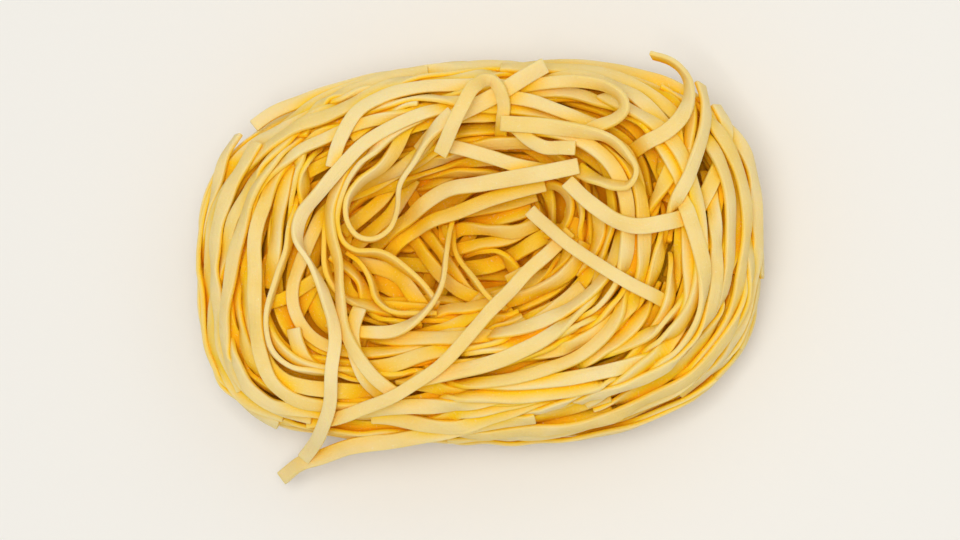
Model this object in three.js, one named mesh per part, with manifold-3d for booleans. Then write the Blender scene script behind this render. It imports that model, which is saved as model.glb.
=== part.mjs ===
// A nest of dry egg pasta. Flat ribbon strands, cut square at their ends, are wound into an oval ring
// while they are soft, and the last of them drop loosely across the top and into the hollow.
// The nest stands on XY with +Z up. X is its long side, and the origin is under its middle.
// It is one solid: a core a little smaller than the nest, with the strands that show fused on it at
// true size. The strands deeper down are left to the core.

import * as THREE from "three";
import { mergeVertices } from "three/addons/utils/BufferGeometryUtils.js";
import Module from "manifold-3d";

// Driving dimensions, in millimetres.
const STRAND_WIDTH = 3.2;
const STRAND_THICKNESS = 1;
const RING_LENGTH = 118; // of the wound ring along X, without the loose ends
const RING_DEPTH = 79; // along Y
const RING_HEIGHT = 36; // from the table to the strands on its crest
const RING_MIDDLE = new THREE.Vector2(1, 2); // in plan
const HOLLOW_SHIFT = new THREE.Vector2(-10, 3); // from the middle of the ring to that of its hollow
const CREST_TO_RIM = 7; // how much lower the loose strands lie at the rim than on the crest
const CREST_TO_HOLLOW = 12; // and how much lower in the hollow
const STAND = new THREE.Vector3(-0.8, 1.65, 0); // brings the middle of the whole over the origin

// The outline is a superellipse. Where the nest was pressed as it dried, its corners are squarer, by
// so much more at these angles, and one corner is rounder.
const SQUARENESS = 2.4;
const CORNERS = [
  [45, 0.55],
  [135, -0.25],
  [225, 1.1],
];

// The ring's crest and its half width, as shares of the way from the hollow to the outline.
const CREST = 0.63;
const HALF_RING = 0.35;

const WOUND_STRANDS = 16;
const WOUND_REACH = 0.95; // share of the ring's section at which they lie
const WOUND_FROM = THREE.MathUtils.degToRad(-48); // on its outer side, a little under the middle
const WOUND_TO = THREE.MathUtils.degToRad(205); // over the crest and down the hollow
const TURNS = 1.02;
// All of them lean together, twice a turn towards the rim and twice towards the hollow.
const LEAN = 0.22;
const LEAN_FROM = THREE.MathUtils.degToRad(185);
// Each also strays in a slow and a quick wave, in radians of tilt and in waves over its length.
const WANDER = [0.13, 0.06];
const WANDER_WAVES = [1.2, 2.9];
const TWIST = THREE.MathUtils.degToRad(18); // from lying flat on the ring
const TWIST_WAVES = 1.4;
const SEED = 11;

const CORE_REACH = 0.9;
const CORE_SIDES = 32;
const CORE_ROWS = 8;
const CORE_FLOOR = 0.62; // height of the core in the hollow, as a share of the ring's
const CORE_FROM = -Math.PI / 2; // tilts of the ring's section between which the core follows it
const CORE_TO = 0.86 * Math.PI;

// Sections are set where the strand has run so far or turned so much since the last one.
const LONGEST_RUN = 12;
const LARGEST_TURN = THREE.MathUtils.degToRad(28);
const MOST_SECTIONS = 12; // in one piece, which stays short of a full loop
const WOUND_SAMPLES = 360;
const SHARE_PASSES = 12; // that settle which closed curve a place in plan lies on
const SMALL_ANGLE = 0.02; // between two places of a section that give its direction

// Loose strands, by hand: the places each runs through in plan, then its lift above the ring and its
// roll from flat in degrees, both spread evenly over its length.
const LOOSE = {
  long_drape: {
    route: [
      [-35.5, -40], [-30.5, -35], [-27.5, -29.5], [-26.5, -22.5], [-26, -15], [-28, -8], [-31, -1.5],
      [-33.5, 3.5], [-33, 8.5], [-29.5, 13], [-24.5, 18.5], [-19, 23.5], [-12.5, 27], [-4.5, 29.5],
    ],
    lift: [-4, 1, 3, 3, 3, 2, 2, 1, 1, -1],
    roll: [0, 0, 0, 10, 60, 75, 40, 5, 0, 0],
  },
  front_stray: {
    route: [
      [-41.5, -44], [-36.5, -41], [-31.5, -39.5], [-25, -37.5], [-17, -36.5], [-8, -35], [3, -33],
      [13, -31.5],
    ],
    lift: [-6, -4, -3, -3, -4],
    roll: [0, 0, 5, 10, 10],
  },
  long_diagonal: {
    route: [
      [20.5, 5], [16, 0.5], [11.5, -3.5], [7, -8.5], [2, -14.5], [-3, -20], [-9.5, -25], [-17.5, -29],
      [-25.5, -31.5], [-33.5, -32.5],
    ],
    lift: [0, 3, 4, 4, 3, 1, -3],
    roll: [0, 0, 0, 0, 0, 10, 30],
  },
  loop_outer: {
    route: [
      [-8.5, 29], [-14.5, 25.5], [-18.5, 21.5], [-22.5, 17.5], [-25.5, 12.5], [-26.5, 8], [-25.5, 3.5],
      [-23, 1.5], [-18.5, 1], [-14, -1.5], [-9.5, -5], [-6.5, -9.5],
    ],
    lift: [-1, 1, 1, 0, 0, -3],
    roll: [20, 50, 80, 80, 70, 60],
  },
  loop_inner: {
    route: [
      [-2.5, 28.5], [-7, 24], [-10.5, 19], [-13.5, 14], [-14.5, 9.5], [-16, 5.5], [-19, 3], [-22.5, 4],
      [-24.5, 7.5], [-24, 12], [-21.5, 15.5], [-17.5, 18], [-14.5, 22], [-12, 26],
    ],
    lift: [0, 2, 3, 2, 2, 1, 0],
    roll: [30, 60, 80, 85, 85, 70, 40],
  },
  inner_fall: {
    route: [
      [-16.5, 25], [-21.5, 21], [-25.5, 15.5], [-27.5, 10], [-27.5, 4.5], [-26, -1], [-25.5, -7],
      [-24.5, -13], [-22, -18.5], [-18.5, -23.5], [-14, -27.5],
    ],
    lift: [-1, 0, 1, 1, 1, -2],
    roll: [0, 10, 40, 50, 30, 10],
  },
  cross_upper: {
    route: [
      [22.5, 17.5], [16, 16.5], [9, 15.5], [2, 14.5], [-4, 13.5], [-9.5, 11], [-14, 8], [-18, 4.5],
    ],
    lift: [3, 4, 3, 3, 1, -4],
    roll: [0, 0, 0, 0, 10, 30],
  },
  cross_lower: {
    route: [[15.5, 14.5], [9.5, 13], [3.5, 11.5], [-2.5, 9.5], [-8, 8], [-13, 5.5], [-17, 2]],
    lift: [0, 1, 1, 0, -4],
    roll: [0, 0, 0, 10, 20],
  },
  slant_upper: {
    route: [[-5.5, 22.5], [-1, 21.5], [4, 20], [9, 18.5], [13.5, 17.5], [18.5, 16.5]],
    lift: [1, 2, 2, 0],
    roll: [0, 0, 0, 0],
  },
  hook: {
    route: [
      [-5, 20], [-2.5, 24.5], [0, 29], [2, 33], [4.5, 35], [6.5, 33.5], [7.5, 30], [7, 26], [6.5, 21.5],
    ],
    lift: [5, 5, 5, 4, 2, 0],
    roll: [0, 0, 20, 50, 60, 40],
  },
  top_diagonal: {
    route: [[15.5, 38], [11.5, 35.5], [7, 32.5], [2.5, 30], [-2.5, 27.5], [-7, 24.5], [-10, 21.5]],
    lift: [3, 3, 2, -2],
    roll: [0, 0, 0, 20],
  },
  u_turn: {
    route: [
      [7, 26.5], [12, 26], [18, 25], [23.5, 24], [28.5, 22.5], [32, 19.5], [34, 16.5], [32.5, 13.5],
      [29.5, 13.5], [26, 15], [22, 17.5],
    ],
    lift: [1, 2, 3, 3, 3, 2, 0],
    roll: [0, 0, 10, 50, 60, 30, 0],
  },
  fold: {
    route: [
      [10.5, 34], [16.5, 34.5], [22.5, 34.5], [27.5, 33.5], [31, 31], [31.5, 28.5], [29.5, 26.5],
      [26, 25], [21.5, 23.5],
    ],
    lift: [0, 1, 3, 4, 3, 0],
    roll: [0, 0, 20, 20, 0, 0],
  },
  curl: {
    route: [
      [36.5, 41.5], [39.5, 40.5], [42.5, 38.5], [44.5, 35], [45, 31.5], [43.5, 28], [40, 24.5],
      [35.5, 22], [31, 19.5], [25.5, 19],
    ],
    lift: [1, 3, 4, 4, 3, -1],
    roll: [80, 70, 50, 10, 0, 0],
  },
  right_fall: {
    route: [[46, 34.5], [47, 30], [47, 25.5], [46, 20.5], [44, 15], [40.5, 8.5], [37, 1.5]],
    lift: [1, 2, 2, 1],
    roll: [20, 50, 60, 50],
  },
  right_slant: {
    route: [[20, 14.5], [23.5, 11], [27, 8.5], [30.5, 6.5], [34.5, 5.5], [40, 6.5], [45.5, 8.5]],
    lift: [3, 3, 2, 0, -1],
    roll: [0, 0, 5, 20, 30],
  },
  middle_slant: {
    route: [
      [10, 11.5], [13.5, 8], [17.5, 4.5], [22, 1], [27, -2.5], [32.5, -5.5], [38, -8.5], [43.5, -12.5],
    ],
    lift: [1, 3, 3, 3, 1],
    roll: [0, 0, 0, 0, 10],
  },
  middle_edge: {
    route: [
      [-4, 10], [-4.5, 5.5], [-5, 0.5], [-5.5, -5], [-7, -9], [-9.5, -12], [-14, -14.5], [-19.5, -15],
      [-24.5, -14.5],
    ],
    lift: [-2, 1, 1, 1, 0, -3],
    roll: [80, 80, 75, 50, 20, 0],
  },
  left_ring: {
    route: [
      [-34.5, 12.5], [-35.5, 7], [-36, 2], [-38, -4], [-39.5, -9.5], [-40, -14], [-39, -18.5],
      [-35.5, -21.5], [-31, -22.5], [-25.5, -23], [-19.5, -24.5],
    ],
    lift: [-1, 0, 0, -1, -2, -3],
    roll: [50, 70, 80, 75, 60, 40],
  },
  upper_rim: {
    route: [
      [-44, 27], [-39.5, 30.5], [-33.5, 33], [-26.5, 35], [-19, 37], [-9, 38.5], [0.5, 39.5],
      [12.5, 39],
    ],
    lift: [-6, -6, -6, -7],
    roll: [25, 35, 45, 50],
  },
  left_rim: {
    route: [
      [-48, 26], [-50, 21.5], [-52.5, 16.5], [-54, 10], [-55.5, 2.5], [-56, -5], [-55, -13],
      [-52.5, -21],
    ],
    lift: [-8, -8, -9, -10],
    roll: [-30, -50, -60, -70],
  },
  left_second: {
    route: [
      [-20, 33.5], [-26, 31], [-31.5, 28], [-36, 24.5], [-40.5, 19.5], [-44.5, 13.5], [-47.5, 8],
      [-49.5, 2], [-51.5, -4.5], [-53, -11.5], [-53, -18], [-50, -24], [-45.5, -28.5], [-38.5, -31.5],
    ],
    lift: [-4, -2, -1, -3, -5, -7, -7, -5],
    roll: [30, 10, -10, -30, -30, -40, -40, -30],
  },
  left_broad: {
    route: [
      [-24.5, 27], [-30, 24.5], [-34.5, 21], [-38.5, 16.5], [-41, 9.5], [-42.5, 2.5], [-42.5, -4],
      [-42, -12], [-41.5, -18.5], [-39.5, -24.5], [-35, -28], [-27.5, -29.5], [-20, -30],
    ],
    lift: [-4, -2, 0, 1, 1, 0, -1, -2],
    roll: [0, 0, 0, -10, -10, -10, -10, 0],
  },
  slope: {
    route: [
      [7.5, 31.5], [13, 30.5], [17.5, 29], [22, 27.5], [26, 26],
    ],
    lift: [1, 1, 1, -1],
    roll: [0, 0],
  },
  front_crest: {
    route: [
      [-28.5, -30.5], [-21.5, -30.5], [-14, -29.5], [-6, -29.5], [2, -28.5], [9.5, -26.5],
    ],
    lift: [-1, -1, -1, -1],
    roll: [-10, -10, -20, -20],
  },
  wavy_end: {
    route: [
      [22, 21], [19, 21], [16, 21], [13, 22.5], [10.5, 25], [7.5, 28],
    ],
    lift: [4, 3, 2, -1],
    roll: [0, 12, -8, 0, 0],
  },
  back_rise: {
    route: [
      [-27, 18], [-25, 24], [-21.5, 29.5], [-16.5, 32.5], [-10, 34], [-3, 34.5],
    ],
    lift: [1, 0, -1, -2],
    roll: [20, 20, 20, 20],
  },
};

const UP = new THREE.Vector3(0, 0, 1);

// A repeatable draw from 0 to 1, for property k of strand i.
function draw(i, k) {
  const mixed = Math.sin((i + 1) * 12.9898 + (k + 1) * 78.233 + SEED * 37.719) * 43758.5453;
  return mixed - Math.floor(mixed);
}

const wave = (turns, phase) => Math.sin(2 * Math.PI * (turns + phase));

// The value at share t of a list of values that are spread evenly, eased from each to the next.
function spread(values, t) {
  const at = t * (values.length - 1);
  const k = Math.min(Math.floor(at), values.length - 2);
  return THREE.MathUtils.lerp(values[k], values[k + 1], THREE.MathUtils.smoothstep(at - k, 0, 1));
}

function outlineRadius(angle) {
  let power = SQUARENESS;
  for (const [at, more] of CORNERS)
    power += more * Math.max(0, Math.cos(angle - THREE.MathUtils.degToRad(at))) ** 2;
  const alongX = Math.abs((2 * Math.cos(angle)) / RING_LENGTH) ** power;
  const alongY = Math.abs((2 * Math.sin(angle)) / RING_DEPTH) ** power;
  return (alongX + alongY) ** (-1 / power);
}

// The middle, in plan, of the closed curve at a share of the way from the hollow to the outline.
const middleAt = (share) => RING_MIDDLE.clone().addScaledVector(HOLLOW_SHIFT, 1 - share);

function onPlan(angle, share) {
  const radius = share * outlineRadius(angle);
  return middleAt(share).add(new THREE.Vector2(radius * Math.cos(angle), radius * Math.sin(angle)));
}

// A point of the ring's section: a tilt of 0 is its outer side and 90 degrees its crest.
function onRing(angle, reach, tilt) {
  const flat = onPlan(angle, CREST + HALF_RING * reach * Math.cos(tilt));
  return new THREE.Vector3(flat.x, flat.y, (RING_HEIGHT / 2) * (1 + reach * Math.sin(tilt)));
}

// How high the wound strands stand under a place in plan.
function restHeight(place) {
  let share = CREST;
  for (let pass = 0; pass < SHARE_PASSES; pass++) {
    const out = place.clone().sub(middleAt(share));
    share = out.length() / outlineRadius(out.angle());
  }
  const outward = (share - CREST) / HALF_RING;
  const inward = (CREST - share) / CREST;
  return RING_HEIGHT - (outward > 0 ? CREST_TO_RIM * outward ** 2 : CREST_TO_HOLLOW * inward ** 1.5);
}

// A wound strand follows the ring at one tilt of its section, and wanders a little from it.
function woundStrand(i) {
  const slot = THREE.MathUtils.lerp(WOUND_FROM, WOUND_TO, i / (WOUND_STRANDS - 1));
  const start = draw(i, 0);
  return Array.from({ length: WOUND_SAMPLES + 1 }, (_, k) => {
    const t = k / WOUND_SAMPLES;
    const angle = 2 * Math.PI * (start + TURNS * t);
    const slow = WANDER[0] * wave(WANDER_WAVES[0] * t, draw(i, 1));
    const quick = WANDER[1] * wave(WANDER_WAVES[1] * t, draw(i, 2));
    const tilt = slot + slow + quick - LEAN * Math.sin(2 * (angle - LEAN_FROM));
    const place = onRing(angle, WOUND_REACH, tilt);
    const round = onRing(angle, WOUND_REACH, tilt + SMALL_ANGLE).sub(place);
    return { place, round, twist: TWIST * wave(TWIST_WAVES * t, draw(i, 3)) };
  });
}

function looseStrand({ route, lift, roll }) {
  const line = new THREE.CatmullRomCurve3(route.map(([x, y]) => new THREE.Vector3(x, y, 0)));
  const samples = Math.ceil(line.getLength());
  return line.getSpacedPoints(samples).map((place, k) => {
    const t = k / samples;
    place.z = restHeight(new THREE.Vector2(place.x, place.y)) + spread(lift, t);
    return { place, round: null, twist: THREE.MathUtils.degToRad(spread(roll, t)) };
  });
}

// Adds to each sample the strand's direction and which way its width points.
function withAxes(samples) {
  return samples.map(({ place, round, twist }, k) => {
    const before = samples[Math.max(k - 1, 0)].place;
    const after = samples[Math.min(k + 1, samples.length - 1)].place;
    const along = after.clone().sub(before).normalize();
    const across = round ? round.clone() : UP.clone().cross(along);
    across.addScaledVector(along, -across.dot(along)).normalize().applyAxisAngle(along, twist);
    return { place, along, across };
  });
}

// Keeps only the samples that the strand's form needs.
function sections(samples) {
  const kept = [samples[0]];
  let run = 0;
  for (let k = 1; k < samples.length - 1; k++) {
    const last = kept[kept.length - 1];
    const here = samples[k];
    run += here.place.distanceTo(samples[k - 1].place);
    const turn = Math.max(here.along.angleTo(last.along), here.across.angleTo(last.across));
    if (run < LONGEST_RUN && turn < LARGEST_TURN) continue;
    kept.push(here);
    run = 0;
  }
  return [...kept, samples[samples.length - 1]];
}

const wasm = await Module();
wasm.setup();

function solidOf(geometry) {
  geometry.deleteAttribute("normal");
  geometry.deleteAttribute("uv");
  const merged = mergeVertices(geometry);
  return new wasm.Manifold(
    new wasm.Mesh({
      numProp: 3,
      vertProperties: merged.attributes.position.array,
      triVerts: new Uint32Array(merged.index.array),
    }),
  );
}

// A long box, bent so that its cross-sections stand on the strand's sections.
function ribbon(stations) {
  const steps = stations.length - 1;
  const box = new THREE.BoxGeometry(STRAND_WIDTH, STRAND_THICKNESS, steps, 1, 1, steps);
  const position = box.attributes.position;
  for (let v = 0; v < position.count; v++) {
    const { place, along, across } = stations[Math.round(position.getZ(v) + steps / 2)];
    const point = place.clone().addScaledVector(across, position.getX(v));
    point.addScaledVector(along.clone().cross(across), position.getY(v));
    position.setXYZ(v, point.x, point.y, point.z);
  }
  return solidOf(box);
}

function strandPieces(samples) {
  const stations = sections(withAxes(samples));
  const pieces = [];
  for (let from = 0; from < stations.length - 1; from += MOST_SECTIONS)
    pieces.push(ribbon(stations.slice(from, from + MOST_SECTIONS + 1)));
  return pieces;
}

// The core: the ring's section and the floor of the hollow, turned round and spread to the outline.
function core() {
  const profile = [new THREE.Vector2(0, 0)];
  for (let row = 0; row <= CORE_ROWS; row++) {
    const tilt = THREE.MathUtils.lerp(CORE_FROM, CORE_TO, row / CORE_ROWS);
    const share = CREST + HALF_RING * CORE_REACH * Math.cos(tilt);
    const height = row === 0 ? 0 : (RING_HEIGHT / 2) * (1 + CORE_REACH * Math.sin(tilt));
    profile.push(new THREE.Vector2(share, height));
  }
  profile.push(new THREE.Vector2(0, CORE_FLOOR * RING_HEIGHT));
  const lathe = new THREE.LatheGeometry(profile, CORE_SIDES).rotateX(Math.PI / 2);
  const position = lathe.attributes.position;
  for (let v = 0; v < position.count; v++) {
    const turned = new THREE.Vector2(position.getX(v), position.getY(v));
    const flat = onPlan(turned.angle(), turned.length());
    position.setXYZ(v, flat.x, flat.y, position.getZ(v));
  }
  return solidOf(lathe);
}

// All that would reach under the table is cut away, and so are scraps that touch nothing.
function nest() {
  const wound = Array.from({ length: WOUND_STRANDS }, (_, i) => strandPieces(woundStrand(i)));
  const loose = Object.values(LOOSE).map((strand) => strandPieces(looseStrand(strand)));
  const table = new THREE.BoxGeometry(2 * RING_LENGTH, 2 * RING_DEPTH, RING_HEIGHT);
  const joined = wasm.Manifold.union([core(), ...wound.flat(), ...loose.flat()]);
  const bodies = joined.subtract(solidOf(table.translate(0, 0, -RING_HEIGHT / 2))).decompose();
  const whole = bodies.sort((a, b) => b.volume() - a.volume())[0].getMesh();
  const geometry = new THREE.BufferGeometry()
    .setAttribute("position", new THREE.BufferAttribute(whole.vertProperties, 3))
    .setIndex(new THREE.BufferAttribute(whole.triVerts, 1));
  return geometry.translate(STAND.x, STAND.y, STAND.z);
}

const eggPasta = new THREE.MeshStandardMaterial({ color: 0xf0d07c, roughness: 0.6, metalness: 0 });
const pastaNest = new THREE.Mesh(nest(), eggPasta);
pastaNest.name = "pasta_nest";
pastaNest.geometry.computeVertexNormals();

const group = new THREE.Group();
group.add(pastaNest);

export default group;
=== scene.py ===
# %% [markdown]
# # A nest of dry egg pasta
#
# The nest is nearly eighteen metres of flat ribbon. It was wound into an oval ring while it was soft, the
# last of it dropped across the top, and the whole dried as it lay. What makes it hard to model is that no
# ribbon may run through another: each lies on the ones below. So this lesson lays every ribbon out
# roughly, by a rule or one by one, lets a small solver push them apart and settle them, and only then gives
# them a body and a surface.
#
# The imported model comes first. It gives the room that the nest may take up.

# %% Load the frame
import math

import bpy
import numpy as np
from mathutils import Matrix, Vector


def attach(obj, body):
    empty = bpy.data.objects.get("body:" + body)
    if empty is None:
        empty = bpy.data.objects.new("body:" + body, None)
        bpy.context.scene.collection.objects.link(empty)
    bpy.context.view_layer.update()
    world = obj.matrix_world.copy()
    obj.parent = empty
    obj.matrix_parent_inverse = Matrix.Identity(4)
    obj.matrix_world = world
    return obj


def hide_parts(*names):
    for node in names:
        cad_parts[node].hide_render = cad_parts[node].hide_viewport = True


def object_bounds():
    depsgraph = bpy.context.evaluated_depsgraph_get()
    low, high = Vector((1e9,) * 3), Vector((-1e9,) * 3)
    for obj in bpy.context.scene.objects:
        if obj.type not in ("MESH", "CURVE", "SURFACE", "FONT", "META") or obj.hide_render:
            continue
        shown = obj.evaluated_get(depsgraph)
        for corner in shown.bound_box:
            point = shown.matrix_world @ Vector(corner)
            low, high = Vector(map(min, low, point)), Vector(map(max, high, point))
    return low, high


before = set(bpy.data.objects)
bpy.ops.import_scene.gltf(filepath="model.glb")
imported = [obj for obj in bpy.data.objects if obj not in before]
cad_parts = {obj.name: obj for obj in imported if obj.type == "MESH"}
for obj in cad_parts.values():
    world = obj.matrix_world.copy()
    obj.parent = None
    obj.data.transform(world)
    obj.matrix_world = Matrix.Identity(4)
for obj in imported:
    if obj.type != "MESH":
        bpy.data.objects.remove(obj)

CAD_BOX = [list(corner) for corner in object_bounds()]
NODE = "pasta_nest"
print("room for the nest, in mm:", [[round(1000 * x, 1) for x in corner] for corner in CAD_BOX])

# %% [markdown]
# ## Sizes
#
# Ribbons are best thought of in millimetres, so all the winding is worked out in them, and the meshes
# are brought to metres at the end. The driving sizes are those of the solid model: an oval ring, 118 by
# 79 mm and 36 mm high, wound of ribbons 3.2 mm wide and 1 mm thick. The hollow sits a little to the left
# of the ring's middle. Lengths that follow from another size are shares of it.

# %% Sizes
MM = 0.001
STRAND_WIDTH = 3.2
STRAND_THICKNESS = 1.0
RING_LENGTH = 118
RING_DEPTH = 79
RING_HEIGHT = 36
RING_MIDDLE = np.array([1.0, 2.0])
HOLLOW_SHIFT = np.array([-10.0, 3.0])
CREST_TO_RIM = 7
CREST_TO_HOLLOW = 12
STAND = np.array([-0.8, 1.65, 0.0])  # moves the nest so that its box is centred on the origin

SQUARENESS = 2.4
CORNERS = {225: 1.1, 45: 0.55, 135: -0.45}  # how much squarer the outline is at these angles
CREST = 0.63  # where the ring is highest, as a share of the way out
HALF_RING = 0.35  # half the ring's width, as a share of the way out

STEP = 1.6  # between the stations of a ribbon while it is laid and settled
SEED = 11

# %% [markdown]
# ## The oval
#
# The nest's outline in plan is a superellipse, which is an ellipse with squarer shoulders, and squarest
# at the front left corner. A place in the nest is then told by three numbers: the angle round the middle,
# how far out it lies, and its tilt round the ring's own section, from 0 on the outer side to 90 degrees
# on the crest. That is how a ring is wound, and it makes every wound ribbon a simple rule.

# %% Places on the oval ring
def outline_radius(angle):
    power = SQUARENESS + sum(
        more * np.maximum(0, np.cos(angle - math.radians(at))) ** 2 for at, more in CORNERS.items()
    )
    along_x = np.abs(2 * np.cos(angle) / RING_LENGTH) ** power
    along_y = np.abs(2 * np.sin(angle) / RING_DEPTH) ** power
    return (along_x + along_y) ** (-1 / power)


def middle_at(share):
    """The middle of the closed curve at a share of the way from the hollow to the outline."""
    return RING_MIDDLE + HOLLOW_SHIFT * (1 - share)[:, None]


def on_plan(angle, share):
    radius = share * outline_radius(angle)
    return middle_at(share) + np.column_stack([radius * np.cos(angle), radius * np.sin(angle)])


def on_ring(angle, reach, tilt):
    flat = on_plan(angle, CREST + HALF_RING * reach * np.cos(tilt))
    return np.column_stack([flat, RING_HEIGHT / 2 * (1 + reach * np.sin(tilt))])


ROUNDS = 12  # enough for the share to settle


def rest_height(flat):
    """How high the wound ribbons stand under places in plan."""
    share = np.full(len(flat), CREST)
    for _ in range(ROUNDS):
        out = flat - middle_at(share)
        share = np.hypot(out[:, 0], out[:, 1]) / outline_radius(np.arctan2(out[:, 1], out[:, 0]))
    outward = np.maximum(share - CREST, 0) / HALF_RING
    inward = np.maximum(CREST - share, 0) / CREST
    return RING_HEIGHT - CREST_TO_RIM * outward**2 - CREST_TO_HOLLOW * inward**1.5


corners = on_plan(np.radians([0, 90, 180, 270]), np.ones(4))
print("the outline's reach in mm:", corners.round(1).tolist())

# %% [markdown]
# ## One ribbon
#
# A ribbon is told by its stations, one every 1.6 mm: where the middle of its width is, and which way
# that width points. Both come from a rule or from a listed route, sampled finely and then evenly
# along its length. The width is kept square to the direction of the ribbon, as a strip of dough bends
# and twists easily but doesn't shear.

# %% Stations of a ribbon
def unit(vectors):
    return vectors / np.maximum(np.linalg.norm(vectors, axis=1), 1e-9)[:, None]


def turned(along, across, angle):
    """The directions across, turned about along."""
    return across * np.cos(angle)[:, None] + np.cross(along, across) * np.sin(angle)[:, None]


def squared(across, along):
    """The directions across, made square to along."""
    return unit(across - along * np.sum(across * along, axis=1)[:, None])


def evenly(step, path, *others):
    """The path and what goes with it, sampled a step apart, and the share of the way at each sample."""
    run = np.concatenate([[0], np.cumsum(np.linalg.norm(np.diff(path, axis=0), axis=1))])
    count = max(3, round(run[-1] / step))
    at = np.linspace(0, run[-1], count + 1)
    sampled = [np.column_stack([np.interp(at, run, column) for column in v.T]) for v in (path, *others)]
    return *sampled, at / run[-1]


def spread(values, share):
    """The value at a share of the way along values that are spread evenly, eased between them."""
    values = np.asarray(values, float)
    at = share * (len(values) - 1)
    k = np.minimum(at.astype(int), len(values) - 2)
    ease = (at - k) ** 2 * (3 - 2 * (at - k))
    return values[k] + (values[k + 1] - values[k]) * ease


# %% [markdown]
# ## The wound ribbons
#
# A wound ribbon keeps to one tilt of the ring's section while it goes round, and strays from it in a
# slow and a quick wave, because it was dropped and not placed. All sixteen start and end at the front
# right, as one handful does, and short ones bridge that place. Under them lie ribbons that drift from one
# tilt to another on the way, so that they cross their neighbours at a shallow angle. Others back the
# sides, where one would otherwise look between the ribbons into the dark.

# %% How one ribbon is wound
SAMPLES = 480
LEAN = 0.22  # radians that the tilt leans over, one way and the other, on the way round
LEAN_FROM = math.radians(185)
SLOW, QUICK, IN_AND_OUT, TWISTS = 1.2, 2.9, 0.9, 1.4  # waves in the length of one ribbon
NUDGE = 0.02  # radians of tilt, which show the way that the width points


def wave(turns, phase):
    return np.sin(2 * np.pi * (turns + phase))


def wound(tilt, reach, start, turns, phases, wander, drift, sway, twist):
    """A wound ribbon, which starts and turns in whole turns and whose waves have these phases.

    It wanders about its tilt in two waves, drifts to another tilt, sways in and out, and twists by degrees.
    """
    share = np.linspace(0, 1, SAMPLES)
    angle = 2 * np.pi * (start + turns * share)
    tilts = tilt + drift * (share - 0.5) - LEAN * np.sin(2 * (angle - LEAN_FROM))
    tilts += wander[0] * wave(SLOW * share, phases[0]) + wander[1] * wave(QUICK * share, phases[1])
    reaches = reach + sway * wave(IN_AND_OUT * share, phases[3])
    place = on_ring(angle, reaches, tilts)
    place, across, share = evenly(STEP, place, on_ring(angle, reaches, tilts + NUDGE) - place)
    along = unit(np.gradient(place, axis=0))
    twists = np.radians(twist) * wave(TWISTS * share, phases[2])
    return place, turned(along, squared(across, along), twists)


# %% Ribbons on the outside of the ring
LOWEST = math.radians(-48)
HIGHEST = math.radians(205)
START, SPREAD = 0.02, 0.24  # in turns: the wound ribbons start and end at the front right
OUTER = 16
TILT_STEP = (HIGHEST - LOWEST) / (OUTER - 1)
BRIDGES = np.radians([-35, -10, 15, 40, 65])
CROSSING = 12
rng = np.random.default_rng(SEED)


def draw(i, k):
    """A repeatable draw from 0 to 1, for property k of ribbon i."""
    mixed = math.sin((i + 1) * 12.9898 + (k + 1) * 78.233 + SEED * 37.719) * 43758.5453
    return mixed - math.floor(mixed)


outer = []
for i in range(OUTER):
    phases = [draw(i, k) for k in (1, 2, 3, 4)]
    tilt = LOWEST + i * TILT_STEP
    reach = 0.95 - 0.1 * max(0, math.sin(tilt - 0.2))
    twist = 12 + 36 * max(0, math.sin(tilt)) ** 2
    start = START - SPREAD * draw(i, 0)
    outer.append(wound(tilt, reach, start, 1.02, phases, (0.16, 0.1), 0, 0.05, twist))
for tilt in BRIDGES:
    start = START - SPREAD - 0.15 * rng.random()
    outer.append(wound(tilt, 0.9, start, 0.45, rng.random(4), (0.1, 0.05), 0, 0.04, 20))
for i in range(CROSSING):
    tilt = LOWEST + (HIGHEST - LOWEST) * (i + 0.5) / CROSSING
    turns = rng.uniform(0.85, 1.15)
    drift = rng.choice([-1, 1]) * rng.uniform(0.2, 1)
    start = START - SPREAD * rng.random()
    outer.append(wound(tilt, 0.84, start, turns, rng.random(4), (0.25, 0.12), drift, 0.12, 60))
print(len(outer), "ribbons on the outside of the ring")

# %% Ribbons inside the ring
BACKING, MIDDLES, UNDER = 7, 11, 3

inner = []
for tilt in np.radians(np.linspace(-42, 60, BACKING)):
    turns = rng.uniform(0.9, 1.2)
    inner.append(wound(tilt, 0.8, rng.random(), turns, rng.random(4), (0.12, 0.06), 0.15, 0.03, 15))
for i in range(MIDDLES):
    tilt = math.radians(30) + 2 * np.pi * (i + 0.5 * rng.random()) / (MIDDLES + 2)
    turns = rng.uniform(0.8, 1.3)
    drift = rng.uniform(-0.8, 0.8)
    inner.append(wound(tilt, 0.7, rng.random(), turns, rng.random(4), (0.3, 0.1), drift, 0.1, 50))
for i in range(UNDER):
    tilt = HIGHEST + (2 * np.pi + LOWEST - HIGHEST) * (i + 0.5) / UNDER
    start, turns = rng.random(), rng.uniform(0.8, 1.3)
    inner.append(wound(tilt, 0.92, start, turns, rng.random(4), (0.2, 0.08), 0, 0.04, 14))
print(len(inner), "ribbons inside the ring")
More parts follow.
